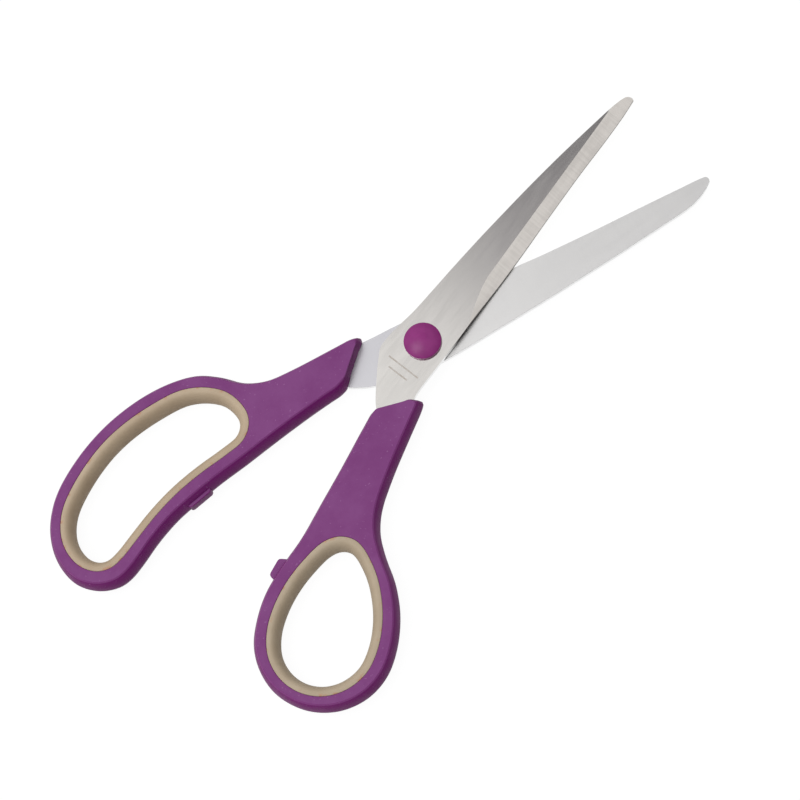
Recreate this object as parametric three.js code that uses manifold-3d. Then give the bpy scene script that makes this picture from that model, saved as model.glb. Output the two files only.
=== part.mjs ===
// Straight-bladed craft scissors for paper, with soft-lined plastic handles.
//
// Two stamped stainless blades turn on a capped rivet.  Each blade's tang is moulded into a
// plastic handle, and a soft grip ring is moulded into each handle's loop.  Units are
// millimetres.  The origin is on the rivet's axis, at the surface that the scissors lie on.
// +X runs along the bisector of the blades, which stand open, and +Z is up from that surface.
//
// Each half is drawn in its own plan, with its blade's tip on +X, and then turned to the
// angle that it lies at.  "front" is the upper blade, with the thumb handle.  "rear" is the
// lower blade, with the finger handle.

import * as THREE from 'three';
import Module from 'manifold-3d';
import { mergeVertices } from 'three/addons/utils/BufferGeometryUtils.js';

const wasm = await Module();
wasm.setup();

// ---------------------------------------------------------------- driving dimensions

const openAngle = THREE.MathUtils.degToRad(20.85); // between the blades as they lie

const handleThickness = 9;
const middle = handleThickness / 2; // parting plane of the handles, midway between the blades
const sideRun = 1.65; // how far a handle's side leans in from the middle to the top edge
const endRun = 0.7; // the same on the steeper wall where the blade comes out
const creaseHeight = 1.8; // a side's lean changes this far from either face
const creaseShare = 0.38; // share of the lean that is left at the crease
const clearance = 0.3; // between two pieces moulded or fitted into each other

const bladeThickness = 1.6;
const bladeGap = 0.4; // between the facing sides of the two blades
const bladeLow = middle + bladeGap / 2;
const bladeHigh = bladeLow + bladeThickness;
const bevelWidth = 4.4;
const bevelHeel = 11; // where the bevel has run out, measured along the blade
const bevelFull = 23; // where it reaches its full width
const bevelBase = 35; // the ground edge is taken as straight from here to the tip
const edgeThickness = 0.15;

const tongueDepth = 1; // rib round the inside of each loop, which locks the grip
const tongueHalfHeight = 1;
const gripBulge = 3.4; // how far the grip swells into the loop
const gripLand = 0.9; // flat width of the grip at the handle's face

const shankRadius = 2.5;
const boreRadius = 2.7;
const headRadius = 4.1;
const headThickness = 0.8;
const washerRadius = 4.5;
const washerThickness = 0.3;
const stackPlay = 0.05; // axial play between the stacked pieces
const capRadius = 5.6;
const capSkirt = 0.95; // straight wall of a cap, below its dome
const capCurve = 0.88; // power of the dome's curve: 0.5 is an ellipse and 1 a parabola
const capLand = 1.6; // radius of the flat on a cap's crown
const capClearance = 0.25; // between a cap and the pieces inside it

const mouldHoleRadius = 2; // through the tang, for the plastic to flow through
const mouldPinRadius = 1.7;

const stopHalfHeight = 1.9;
const stopChamfer = 0.5;

const roundSegments = 28;
const loopSteps = 3; // straight pieces between two control points of an outline

// ---------------------------------------------------------------- outlines, in plan

// Front blade: along the spine, round the tip, back along the cutting edge, round the tang.
const frontSpine = [[-6, 9.2], [-1.4, 9], [5, 8.3], [14, 8], [23, 7.8], [35, 7.35],
  [43, 6.9], [52, 6.35], [60, 5.75], [69, 4.95], [76, 4.2], [82, 3.5], [91, 2.35]];
const frontTip = [[95, 1.65], [96.5, 1.1], [97.2, 0.3], [97.4, -0.6], [97, -1.3]];
const frontEdge = [[91, -2.05], [82, -2.75], [69, -3.45], [52, -4.75], [35, -6.15],
  [18, -7.15], [6, -7.9], [-5, -8.4], [-12, -8.7]];
const frontTang = [[-14.6, -9.1], [-18, -10.6], [-25.8, -12.9], [-46.9, -19.1], [-49, -12],
  [-28, -6], [-25.2, -4.4], [-23.8, -2]];
const frontShoulder = [[-17.4, 3.3], [-12.2, 7], [-9, 8.9]];
const frontMouldHoles = [[-31.1, -10.7], [-42.7, -14]];

// Rear blade, turned over: its cutting edge is on -Y here, as the front blade's is.
const rearSpine = [[-20, 3.2], [-14, 5.3], [-5, 7.2], [4, 7.75], [22, 7.5], [36, 7.2],
  [50, 6.65], [65, 6], [80, 5.1], [87, 4.6]];
const rearTip = [[90, 4], [92, 3.35], [94, 2.45], [96, 1.3], [97, 0.5], [97.3, -0.4],
  [96.8, -1.2]];
const rearEdge = [[95, -1.6], [88, -2.15], [76, -3.05], [60, -4.15], [43, -5.6], [35, -6.5],
  [10, -8.2], [-6, -9.35], [-12, -9.65]];
const rearTang = [[-15.4, -9.9], [-19, -9.8], [-26, -9.4], [-47, -9.4], [-47, -2], [-30, -2],
  [-27.4, -1.6], [-25.6, 0.1]];
const rearShoulder = [[-24, 1.15], [-22, 2.25]];
const rearMouldHoles = [[-30.5, -5.7], [-41.5, -5.7]];

// Thumb handle at its parting plane, anticlockwise.  The side runs from one corner of the
// wall that the blade comes out of, round the loop, to the other corner.  The end closes it.
const thumbSide = [[-26.4, -1.9], [-32.7, -3.2], [-44.3, -5.7], [-56.1, -8], [-67.4, -10.2],
  [-77, -11.1], [-85.9, -12.6], [-93.3, -15.6], [-99.9, -20.1], [-104.3, -26.6],
  [-106.1, -34.5], [-104.1, -43.9], [-98.5, -51.2], [-90.6, -55.3], [-82.4, -55.7],
  [-74.4, -52.8], [-66.5, -47.3], [-60.4, -40.4], [-56, -32.9], [-51.8, -27.3],
  [-46.3, -23.2], [-37.1, -19.4], [-26.2, -15.9], [-15.2, -12.6]];
const thumbEnd = [[-13.9, -11.2], [-14.6, -9.7], [-25.4, -1.7]];
const thumbSeat = [[-58, -24.8], [-59.9, -19.8], [-64.2, -16.9], [-72, -15.9],
  [-80.2, -16.3], [-88, -18.2], [-94.5, -21.4], [-99.6, -26.4], [-102.1, -33.1],
  [-101.6, -39.9], [-98.3, -45.9], [-92.7, -50], [-85.5, -51.5], [-78.6, -49.8],
  [-71.6, -45.8], [-65.6, -40.2], [-60.9, -33.5]];
const thumbStop = [[-82.6, -13.5], [-81.2, -10.1], [-76, -9.1], [-73, -11.5]];

// Finger handle at its parting plane, drawn the same way.
const fingerSide = [[-17.8, 12.2], [-27, 12.5], [-38, 13], [-45.5, 14], [-51.4, 16.9],
  [-56.4, 21.9], [-62.3, 26.2], [-70.7, 28.6], [-82, 29], [-95, 26.7], [-107.4, 21.6],
  [-117.2, 14.8], [-123, 6.6], [-125, -2.5], [-123.1, -11], [-118.2, -16.2],
  [-112.4, -18.3], [-108.2, -17.9], [-103.6, -16.1], [-96.1, -12.4], [-88.4, -9.5],
  [-80.4, -7.7], [-72, -6.2], [-63, -5.1], [-50.5, -3.3], [-38, -1.8], [-28.5, -1]];
const fingerEnd = [[-26.3, -0.3], [-15.6, 9.8], [-15.4, 11.5]];
const fingerSeat = [[-55, 8], [-56.4, 3.5], [-60.1, 0.3], [-66.1, -0.9], [-75.1, -1.9],
  [-84.1, -3.6], [-92.6, -6.3], [-100.6, -9.7], [-107.1, -12.5], [-111.4, -13.4],
  [-115.5, -12.2], [-119.1, -8.4], [-120.7, -2.5], [-119.8, 3.5], [-116, 9.8], [-108, 16],
  [-98, 21], [-88.7, 23.5], [-78, 24.4], [-69, 23.8], [-62, 20.6], [-57, 15.5]];
const fingerStop = [[-84.4, -7], [-83, -8.85], [-75.5, -7.45], [-74, -5]];

// ---------------------------------------------------------------- materials

function paint(name, color, roughness, metalness) {
  const material = new THREE.MeshStandardMaterial({ color, roughness, metalness });
  material.name = name;
  return material;
}

const steel = () => paint('blade_steel', 0xb9b6b2, 0.35, 1);
const purplePlastic = () => paint('purple_plastic', 0x80467d, 0.5, 0);
const capPlastic = () => paint('cap_plastic', 0x8c3778, 0.35, 0);
const softRubber = () => paint('soft_rubber', 0xae9e88, 0.8, 0);
const rivetSteel = () => paint('rivet_steel', 0x9a9a9c, 0.4, 1);
const nylon = () => paint('nylon', 0xe6e2d8, 0.5, 0);

// ---------------------------------------------------------------- outline helpers

const toVectors = (pairs) => pairs.map(([x, y]) => new THREE.Vector2(x, y));

function anticlockwise(points) {
  return THREE.ShapeUtils.isClockWise(points) ? [...points].reverse() : points;
}

// A smooth curve through the control points, as a list of short straight pieces.
function smooth(pairs, closed) {
  const controls = pairs.map(([x, y]) => new THREE.Vector3(x, y, 0));
  const curve = new THREE.CatmullRomCurve3(controls, closed, 'centripetal');
  const spans = closed ? pairs.length : pairs.length - 1;
  const points = curve.getPoints(spans * loopSteps);
  if (closed) points.pop();
  return points.map((point) => new THREE.Vector2(point.x, point.y));
}

function inwardNormal(from, to) {
  const along = new THREE.Vector2().subVectors(to, from).normalize();
  return new THREE.Vector2(-along.y, along.x);
}

// Moves each edge of an anticlockwise outline inward by its own distance, and returns the
// corners where the moved edges meet.  Edge i starts at corner i.
function inset(points, distanceOfEdge) {
  const count = points.length;
  return points.map((corner, i) => {
    const previous = (i + count - 1) % count;
    const next = (i + 1) % count;
    const first = inwardNormal(points[previous], corner);
    const second = inwardNormal(corner, points[next]);
    const firstDistance = distanceOfEdge(previous);
    const secondDistance = distanceOfEdge(i);
    const turn = first.cross(second);
    if (Math.abs(turn) < 0.05) {
      const across = new THREE.Vector2().addVectors(first, second).normalize();
      return corner.clone().addScaledVector(across, (firstDistance + secondDistance) / 2);
    }
    return new THREE.Vector2(
      corner.x + (firstDistance * second.y - secondDistance * first.y) / turn,
      corner.y + (secondDistance * first.x - firstDistance * second.x) / turn,
    );
  });
}

const insetEvenly = (points, distance) => inset(points, () => distance);

function longestEdge(points) {
  const lengths = points.map((point, i) => point.distanceTo(points[(i + 1) % points.length]));
  return lengths.indexOf(Math.max(...lengths));
}

// ---------------------------------------------------------------- solid helpers

// A closed mesh skinned over matching anticlockwise outlines, from the lowest level up.
function loft(levels) {
  const count = levels[0].loop.length;
  const positions = levels.flatMap(({ z, loop }) => loop.flatMap(({ x, y }) => [x, y, z]));
  const faces = [];
  for (let level = 0; level < levels.length - 1; level += 1) {
    for (let i = 0; i < count; i += 1) {
      const a = level * count + i;
      const b = level * count + ((i + 1) % count);
      faces.push(a, b, b + count, a, b + count, a + count);
    }
  }
  for (const level of [0, levels.length - 1]) {
    const { loop } = levels[level];
    for (const [a, b, c] of THREE.ShapeUtils.triangulateShape(loop, [])) {
      const upward = !THREE.ShapeUtils.isClockWise([loop[a], loop[b], loop[c]]);
      const ordered = upward === (level > 0) ? [a, b, c] : [a, c, b];
      faces.push(...ordered.map((corner) => level * count + corner));
    }
  }
  const geometry = new THREE.BufferGeometry();
  geometry.setAttribute('position', new THREE.Float32BufferAttribute(positions, 3));
  geometry.setIndex(faces);
  return geometry;
}

function toSolid(geometry) {
  const bare = geometry.clone();
  bare.deleteAttribute('normal');
  bare.deleteAttribute('uv');
  const merged = mergeVertices(bare, 1e-4);
  return new wasm.Manifold(new wasm.Mesh({
    numProp: 3,
    vertProperties: new Float32Array(merged.attributes.position.array),
    triVerts: new Uint32Array(merged.index.array),
  }));
}

function toGeometry(solid) {
  const { vertProperties, triVerts } = solid.getMesh();
  const geometry = new THREE.BufferGeometry();
  geometry.setAttribute('position', new THREE.BufferAttribute(vertProperties, 3));
  geometry.setIndex(new THREE.BufferAttribute(triVerts, 1));
  geometry.computeVertexNormals();
  return geometry;
}

function cylinder([x, y], radius, low, high) {
  const geometry = new THREE.CylinderGeometry(radius, radius, high - low, roundSegments);
  geometry.rotateX(Math.PI / 2);
  geometry.translate(x, y, (low + high) / 2);
  return toSolid(geometry);
}

// A large block whose lower face holds three points, given anticlockwise from above.
function blockAbove(a, b, c) {
  const size = 300;
  const along = new THREE.Vector3().subVectors(b, a).normalize();
  const up = new THREE.Vector3().subVectors(b, a).cross(new THREE.Vector3().subVectors(c, a));
  up.normalize();
  const across = new THREE.Vector3().crossVectors(up, along);
  const geometry = new THREE.BoxGeometry(size, size, size);
  geometry.translate(0, 0, size / 2);
  geometry.applyMatrix4(new THREE.Matrix4().makeBasis(along, across, up).setPosition(a));
  return toSolid(geometry);
}

// A turned piece.  The profile is [radius, z] pairs, with the metal on its left.
function turned(profile) {
  const points = profile.map(([radius, z]) => new THREE.Vector2(radius, z));
  const geometry = new THREE.LatheGeometry(points, roundSegments);
  geometry.rotateX(Math.PI / 2);
  return geometry;
}

// ---------------------------------------------------------------- blades

// What the bevel grinds away from the upper side.  It runs out to nothing at its heel.
function bevelWaste(edge) {
  const toe = edge[0];
  const base = edge.find(([x]) => x <= bevelBase);
  const slope = (toe[1] - base[1]) / (toe[0] - base[0]);
  const groundEdge = bladeLow + edgeThickness;
  const at = (x, inward, z) => new THREE.Vector3(x, base[1] + (x - base[0]) * slope + inward, z);
  const bevel = blockAbove(
    at(bevelFull, 0, groundEdge),
    at(toe[0], 0, groundEdge),
    at(bevelFull, bevelWidth, bladeHigh),
  );
  const runOut = blockAbove(
    at(bevelHeel, 0, bladeHigh),
    at(bevelFull, 0, groundEdge),
    at(bevelFull, bevelWidth, bladeHigh),
  );
  return bevel.intersect(runOut);
}

function bladeSolid(outline, edge, mouldHoles) {
  const shape = new THREE.Shape(anticlockwise(toVectors(outline)));
  const holes = [[0, 0, boreRadius], ...mouldHoles.map(([x, y]) => [x, y, mouldHoleRadius])];
  for (const [x, y, radius] of holes) {
    shape.holes.push(new THREE.Path().absarc(x, y, radius, 0, 2 * Math.PI, true));
  }
  const options = { depth: bladeThickness, bevelEnabled: false, curveSegments: roundSegments / 2 };
  const plate = new THREE.ExtrudeGeometry(shape, options);
  plate.translate(0, 0, bladeLow);
  return toSolid(plate).subtract(bevelWaste(edge));
}

const frontOutline = [...frontSpine, ...frontTip, ...frontEdge, ...frontTang, ...frontShoulder];
const rearOutline = [...rearSpine, ...rearTip, ...rearEdge, ...rearTang, ...rearShoulder];

// Turns a piece over about the X axis, in the plane midway between the blades.
function turnOver(geometry) {
  geometry.rotateX(Math.PI);
  geometry.translate(0, 0, handleThickness);
  return geometry;
}

function frontBlade() {
  return toGeometry(bladeSolid(frontOutline, frontEdge, frontMouldHoles));
}

function rearBlade() {
  return turnOver(toGeometry(bladeSolid(rearOutline, rearEdge, rearMouldHoles)));
}

// ---------------------------------------------------------------- handles

// The space that a tang needs in its handle, with the plastic pins through its holes.
function tangPocket(outline, mouldHoles) {
  const behind = -11; // the pocket reaches from here, in open air, to the tang's end
  const tang = anticlockwise(toVectors(outline.filter(([x]) => x < behind)));
  const loop = insetEvenly(tang, -clearance);
  const low = bladeLow - clearance;
  const high = bladeHigh + clearance;
  let pocket = toSolid(loft([{ z: low, loop }, { z: high, loop }]));
  for (const hole of mouldHoles) {
    pocket = pocket.subtract(cylinder(hole, mouldPinRadius, low - 1, high + 1));
  }
  return pocket;
}

function stopBlock(outline) {
  const loop = anticlockwise(toVectors(outline));
  const chamfered = insetEvenly(loop, stopChamfer);
  return toSolid(loft([
    { z: middle - stopHalfHeight, loop: chamfered },
    { z: middle - stopHalfHeight + stopChamfer, loop },
    { z: middle + stopHalfHeight - stopChamfer, loop },
    { z: middle + stopHalfHeight, loop: chamfered },
  ]));
}

// The opening that the grip fills, narrowed at mid height by the tongue.
function gripSeat(seat) {
  const over = 1; // the cutter reaches this far past both faces
  const throat = insetEvenly(seat, tongueDepth);
  return toSolid(loft([
    { z: -over, loop: seat },
    { z: middle - tongueHalfHeight, loop: seat },
    { z: middle - tongueHalfHeight, loop: throat },
    { z: middle + tongueHalfHeight, loop: throat },
    { z: middle + tongueHalfHeight, loop: seat },
    { z: handleThickness + over, loop: seat },
  ]));
}

// A handle's sides lean in from the parting plane, gently at first, to crisp flat faces.
function handleBody(side, end) {
  const loop = [...smooth(side, false), ...toVectors(end)];
  const wallEdge = longestEdge(loop); // the wall that the blade comes out of
  const lean = [[0, 1], [creaseHeight, creaseShare], [middle, 0],
    [handleThickness - creaseHeight, creaseShare], [handleThickness, 1]];
  return toSolid(loft(lean.map(([z, share]) => ({
    z,
    loop: inset(loop, (edge) => share * (edge === wallEdge ? endRun : sideRun)),
  }))));
}

function handle(side, end, seat, stop, pocket) {
  const body = handleBody(side, end).add(stopBlock(stop));
  return body.subtract(gripSeat(seat)).subtract(pocket);
}

// ---------------------------------------------------------------- grips

// A ring that fills the loop's seat and swells into the loop, locked by the tongue.
function grip(seat) {
  const wall = insetEvenly(seat, clearance);
  const groove = insetEvenly(seat, tongueDepth + clearance);
  const grooveHalfHeight = tongueHalfHeight + clearance;
  const outside = toSolid(loft([
    { z: 0, loop: wall },
    { z: middle - grooveHalfHeight, loop: wall },
    { z: middle - grooveHalfHeight, loop: groove },
    { z: middle + grooveHalfHeight, loop: groove },
    { z: middle + grooveHalfHeight, loop: wall },
    { z: handleThickness, loop: wall },
  ]));
  const over = 1;
  const heights = [-1, -0.84, -0.5, 0, 0.5, 0.84, 1];
  const swell = heights.map((height) => ({
    z: middle * (1 + height),
    loop: insetEvenly(seat, gripLand + (gripBulge - gripLand) * Math.sqrt(1 - height * height)),
  }));
  const inside = [
    { z: -over, loop: swell[0].loop },
    ...swell,
    { z: handleThickness + over, loop: swell[0].loop },
  ];
  return outside.subtract(toSolid(loft(inside)));
}

const thumbSeatLoop = anticlockwise(smooth(thumbSeat, true));
const fingerSeatLoop = anticlockwise(smooth(fingerSeat, true));

function thumbHandle() {
  const pocket = tangPocket(frontOutline, frontMouldHoles);
  return toGeometry(handle(thumbSide, thumbEnd, thumbSeatLoop, thumbStop, pocket));
}

// The rear blade's plan is turned over, and so is its pocket.
function fingerHandle() {
  const turnedPocket = turnOver(toGeometry(tangPocket(rearOutline, rearMouldHoles)));
  return toGeometry(handle(fingerSide, fingerEnd, fingerSeatLoop, fingerStop, toSolid(turnedPocket)));
}

// ---------------------------------------------------------------- pivot

// Heights in the stack, counted up from the parting plane.
const washerLow = bladeHigh + stackPlay;
const washerHigh = washerLow + washerThickness;
const headLow = washerHigh + stackPlay;
const headHigh = headLow + headThickness;
const mirrored = (z) => handleThickness - z;

function washer(low) {
  return turned([
    [boreRadius, low], [washerRadius, low], [washerRadius, low + washerThickness],
    [boreRadius, low + washerThickness], [boreRadius, low],
  ]);
}

function rivet() {
  const chamfer = 0.3;
  const upperHalf = [
    [shankRadius, headLow], [headRadius, headLow], [headRadius, headHigh - chamfer],
    [headRadius - chamfer, headHigh], [0, headHigh],
  ];
  const lowerHalf = upperHalf.map(([radius, z]) => [radius, mirrored(z)]).reverse();
  return turned([...lowerHalf, ...upperHalf]);
}

// A domed cap that snaps over a rivet head.  The pocket is stepped for the washer.
function capProfile() {
  const skirtTop = washerLow + capSkirt;
  const domeSteps = 6;
  const dome = [];
  for (let step = 0; step <= domeSteps; step += 1) {
    const share = Math.cos((step / domeSteps) * (Math.PI / 2));
    const rise = (1 - share * share) ** capCurve;
    dome.push([
      capLand + (capRadius - capLand) * share,
      skirtTop + (handleThickness - skirtTop) * rise,
    ]);
  }
  const headPocket = headRadius + capClearance;
  const washerPocket = washerRadius + capClearance;
  const stepHeight = washerHigh + stackPlay;
  const pocketTop = headHigh + capClearance;
  return [
    [0, pocketTop], [headPocket, pocketTop], [headPocket, stepHeight],
    [washerPocket, stepHeight], [washerPocket, washerLow], [capRadius, washerLow],
    ...dome, [0, handleThickness],
  ];
}

const frontCap = () => turned(capProfile());
const rearCap = () => turned(capProfile().map(([radius, z]) => [radius, mirrored(z)]).reverse());

// ---------------------------------------------------------------- assembly

function node(name, geometry, material) {
  const mesh = new THREE.Mesh(geometry, material);
  mesh.name = name;
  return mesh;
}

const thumbHalf = new THREE.Group();
thumbHalf.rotation.z = openAngle / 2;
thumbHalf.add(
  node('front_blade', frontBlade(), steel()),
  node('thumb_handle', thumbHandle(), purplePlastic()),
  node('thumb_grip', toGeometry(grip(thumbSeatLoop)), softRubber()),
  node('pivot_rivet', rivet(), rivetSteel()),
  node('front_washer', washer(washerLow), rivetSteel()),
  node('friction_washer', washer(middle - washerThickness / 2), nylon()),
  node('rear_washer', washer(mirrored(washerHigh)), rivetSteel()),
  node('front_cap', frontCap(), capPlastic()),
  node('rear_cap', rearCap(), capPlastic()),
);

const fingerHalf = new THREE.Group();
fingerHalf.rotation.z = -openAngle / 2;
fingerHalf.add(
  node('rear_blade', rearBlade(), steel()),
  node('finger_handle', fingerHandle(), purplePlastic()),
  node('finger_grip', toGeometry(grip(fingerSeatLoop)), softRubber()),
);

const scissors = new THREE.Group();
scissors.add(thumbHalf, fingerHalf);

export default scissors;
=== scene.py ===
# Craft scissors: the fine surfaces, materials and light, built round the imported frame.
#
# Lengths are in millimetres until a mesh is made, which turns them into metres.  Each piece is
# worked out from the outlines of the CAD node that it stands for.

import math

import bpy
import numpy as np
from mathutils import Matrix, Vector
from mathutils.geometry import convex_hull_2d, delaunay_2d_cdt


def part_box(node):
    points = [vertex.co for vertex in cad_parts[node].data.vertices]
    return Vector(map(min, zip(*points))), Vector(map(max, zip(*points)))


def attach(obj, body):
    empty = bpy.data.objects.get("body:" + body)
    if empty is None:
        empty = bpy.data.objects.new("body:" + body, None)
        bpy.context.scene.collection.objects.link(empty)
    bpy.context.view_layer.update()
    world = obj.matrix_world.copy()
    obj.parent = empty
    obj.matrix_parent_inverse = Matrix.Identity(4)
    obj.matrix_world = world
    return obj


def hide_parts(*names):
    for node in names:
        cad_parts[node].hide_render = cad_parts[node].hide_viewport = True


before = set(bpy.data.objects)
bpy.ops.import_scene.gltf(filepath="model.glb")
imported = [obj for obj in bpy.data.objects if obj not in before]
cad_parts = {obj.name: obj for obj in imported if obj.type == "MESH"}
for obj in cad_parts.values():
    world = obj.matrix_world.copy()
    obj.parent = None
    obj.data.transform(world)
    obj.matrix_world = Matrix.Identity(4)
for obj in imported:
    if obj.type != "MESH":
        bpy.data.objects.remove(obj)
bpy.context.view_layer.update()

MM = 0.001
SAME = 0.02  # points closer than this are one point
LEVEL = 0.99  # a face whose normal has at least this much Z is flat
OVERSAMPLE = 4  # points on a curve for each point that is kept

# ---------------------------------------------------------------- camera

CAMERA_TILT = math.radians(19)  # from straight above
CAMERA_TURN = math.radians(27)  # of the tilt's direction, from the bottom of the picture
CAMERA_DISTANCE = 700
CAMERA_LENS = 106.96
CAMERA_SENSOR = 36
CAMERA_TARGET = (-15.9, -7.24)
PICTURE_TURN = math.radians(-40.553)  # from the picture's right to the frame's +X


def picture_to_frame(x, y, z):
    cos, sin = math.cos(PICTURE_TURN), math.sin(PICTURE_TURN)
    return Vector((x * cos - y * sin, x * sin + y * cos, z))


def make_camera():
    sin_turn, cos_turn = math.sin(CAMERA_TURN), math.cos(CAMERA_TURN)
    sin_tilt, cos_tilt = math.sin(CAMERA_TILT), math.cos(CAMERA_TILT)
    back = picture_to_frame(sin_tilt * sin_turn, -sin_tilt * cos_turn, cos_tilt)
    across = picture_to_frame(cos_turn, sin_turn, 0)
    along = picture_to_frame(cos_tilt * sin_turn, -cos_tilt * cos_turn, -sin_tilt)
    right = sin_turn * along + cos_turn * across
    up = sin_turn * across - cos_turn * along
    place = Vector((*CAMERA_TARGET, 0)) + CAMERA_DISTANCE * back
    data = bpy.data.cameras.new("camera")
    data.lens = CAMERA_LENS
    data.sensor_width = CAMERA_SENSOR
    data.clip_start = 0.01
    camera = bpy.data.objects.new("camera", data)
    camera.matrix_world = Matrix.Translation(place * MM) @ Matrix((right, up, back)).transposed().to_4x4()
    bpy.context.scene.collection.objects.link(camera)
    bpy.context.scene.camera = camera


make_camera()

# ---------------------------------------------------------------- outlines


def area(loop):
    x, y = loop.T
    return 0.5 * np.sum(x * np.roll(y, -1) - y * np.roll(x, -1))


def anticlockwise(loop):
    return loop if area(loop) > 0 else loop[::-1].copy()


def cad_outlines(node, height, facing):
    """The outlines of a CAD node's flat faces at a height, facing up (1) or down (-1), the largest
    first."""
    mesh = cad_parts[node].data
    places = {}
    number = [
        places.setdefault(tuple(np.round(np.array(v.co) / MM, 3)), len(places))
        for v in mesh.vertices
    ]
    points = np.array(list(places))
    edges = {}
    for face in mesh.polygons:
        corners = [number[i] for i in face.vertices]
        level = np.all(np.abs(points[corners, 2] - height) < SAME)
        if level and face.normal.z * facing > LEVEL:
            edges.update({pair: True for pair in zip(corners, corners[1:] + corners[:1])})
    following = {a: b for a, b in edges if (b, a) not in edges}
    loops = []
    while following:
        start = next(iter(following))
        loop = [start]
        at = following.pop(start)
        while at != start:
            loop.append(at)
            at = following.pop(at)
        loops.append(anticlockwise(points[loop][:, :2]))
    return sorted(loops, key=lambda loop: -area(loop))


def catmull_rom(before, start, end, after, count):
    """Points from start towards end on a centripetal Catmull-Rom curve."""
    knots = [0.0]
    for a, b in ((before, start), (start, end), (end, after)):
        knots.append(knots[-1] + math.sqrt(np.linalg.norm(b - a)))
    t0, t1, t2, t3 = knots
    t = np.linspace(t1, t2, count, endpoint=False)[:, None]
    a1 = (t1 - t) / (t1 - t0) * before + (t - t0) / (t1 - t0) * start
    a2 = (t2 - t) / (t2 - t1) * start + (t - t1) / (t2 - t1) * end
    a3 = (t3 - t) / (t3 - t2) * end + (t - t2) / (t3 - t2) * after
    b1 = (t2 - t) / (t2 - t0) * a1 + (t - t0) / (t2 - t0) * a2
    b2 = (t3 - t) / (t3 - t1) * a2 + (t - t1) / (t3 - t1) * a3
    return (t2 - t) / (t2 - t1) * b1 + (t - t1) / (t2 - t1) * b2


def resample(loop, spacing):
    """Evenly spaced points along a closed line of straight pieces."""
    closed = np.vstack([loop, loop[:1]])
    along = np.concatenate([[0], np.cumsum(np.linalg.norm(np.diff(closed, axis=0), axis=1))])
    count = int(round(along[-1] / spacing))
    at = np.linspace(0, along[-1], count, endpoint=False)
    return np.column_stack([np.interp(at, along, closed[:, k]) for k in (0, 1)])


def turns(loop):
    """How far a closed line turns at each of its points, in degrees."""
    step = np.roll(loop, -1, axis=0) - loop
    heading = np.arctan2(step[:, 1], step[:, 0])
    return np.degrees(np.abs(np.angle(np.exp(1j * (heading - np.roll(heading, 1))))))


def fine_outline(loop, spacing, corner_turn):
    """An even, smooth outline through a coarse one's corners.  It bends only where the coarse
    outline turns by more than corner_turn degrees."""
    sharp = turns(loop) > corner_turn
    pieces = []
    for i in range(len(loop)):
        start, end = loop[i], loop[(i + 1) % len(loop)]
        before = 2 * start - end if sharp[i] else loop[i - 1]
        after = 2 * end - start if sharp[(i + 1) % len(loop)] else loop[(i + 2) % len(loop)]
        count = max(2, int(OVERSAMPLE * np.linalg.norm(end - start) / spacing))
        pieces.append(catmull_rom(before, start, end, after, count))
    return resample(np.vstack(pieces), spacing)


def soften(samples, width):
    """Blurs evenly spaced samples on a closed line over a number of samples."""
    frequency = np.fft.fftfreq(len(samples))
    gain = np.exp(-2 * (np.pi * width * frequency) ** 2)
    gain = gain.reshape([-1] + [1] * (samples.ndim - 1))
    return np.fft.ifft(np.fft.fft(samples, axis=0) * gain, axis=0).real


def outward(loop):
    along = np.roll(loop, -1, axis=0) - np.roll(loop, 1, axis=0)
    along /= np.linalg.norm(along, axis=1)[:, None]
    return np.column_stack([along[:, 1], -along[:, 0]])


def widened(loop, run, corners, reach):
    """A closed line of even points moved out by a run for each point.  The line keeps the given
    corners, which spread along it over reach points."""
    move = outward(loop) * run[:, None]
    for corner in corners:
        i = int(np.argmin(np.linalg.norm(loop - corner, axis=1)))
        ways = loop[i] - loop[i - reach], loop[(i + reach) % len(loop)] - loop[i]
        first, second = [np.array([w[1], -w[0]]) / np.linalg.norm(w) for w in ways]
        mitre = (first + second) / (1 + first @ second) * run[i]
        for k in range(-reach, reach + 1):
            share = 1 - abs(k) / reach
            j = (i + k) % len(loop)
            move[j] = (1 - share) * move[j] + share * mitre
    return loop + move


def to_segments(points, line, closed):
    """Each point's distance to a line of straight pieces, and the side of it that it is on: above
    0 to the left."""
    ends = np.roll(line, -1, axis=0) if closed else line[1:]
    starts = line if closed else line[:-1]
    best = np.full(len(points), np.inf)
    side = np.zeros(len(points))
    for a, b in zip(starts, ends):
        d = b - a
        share = np.clip(((points - a) @ d) / (d @ d), 0, 1)
        gap = points - a - share[:, None] * d
        distance = np.linalg.norm(gap, axis=1)
        nearer = distance < best - 1e-9
        cross = d[0] * (points[:, 1] - a[1]) - d[1] * (points[:, 0] - a[0])
        best = np.where(nearer, distance, best)
        side = np.where(nearer, np.sign(cross), side)
    return best, side


def inside(points, loop):
    x, y = points.T
    found = np.zeros(len(points), bool)
    for (xa, ya), (xb, yb) in zip(loop, np.roll(loop, -1, axis=0)):
        if ya != yb:
            crosses = (ya > y) != (yb > y)
            found ^= crosses & (x < (xb - xa) * (y - ya) / (yb - ya) + xa)
    return found


# ---------------------------------------------------------------- meshes


RING_CLEARANCE = 0.6  # of the spacing, between a fill's loose points and the rings round them
CREASE_CLEARANCE = 0.5


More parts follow.
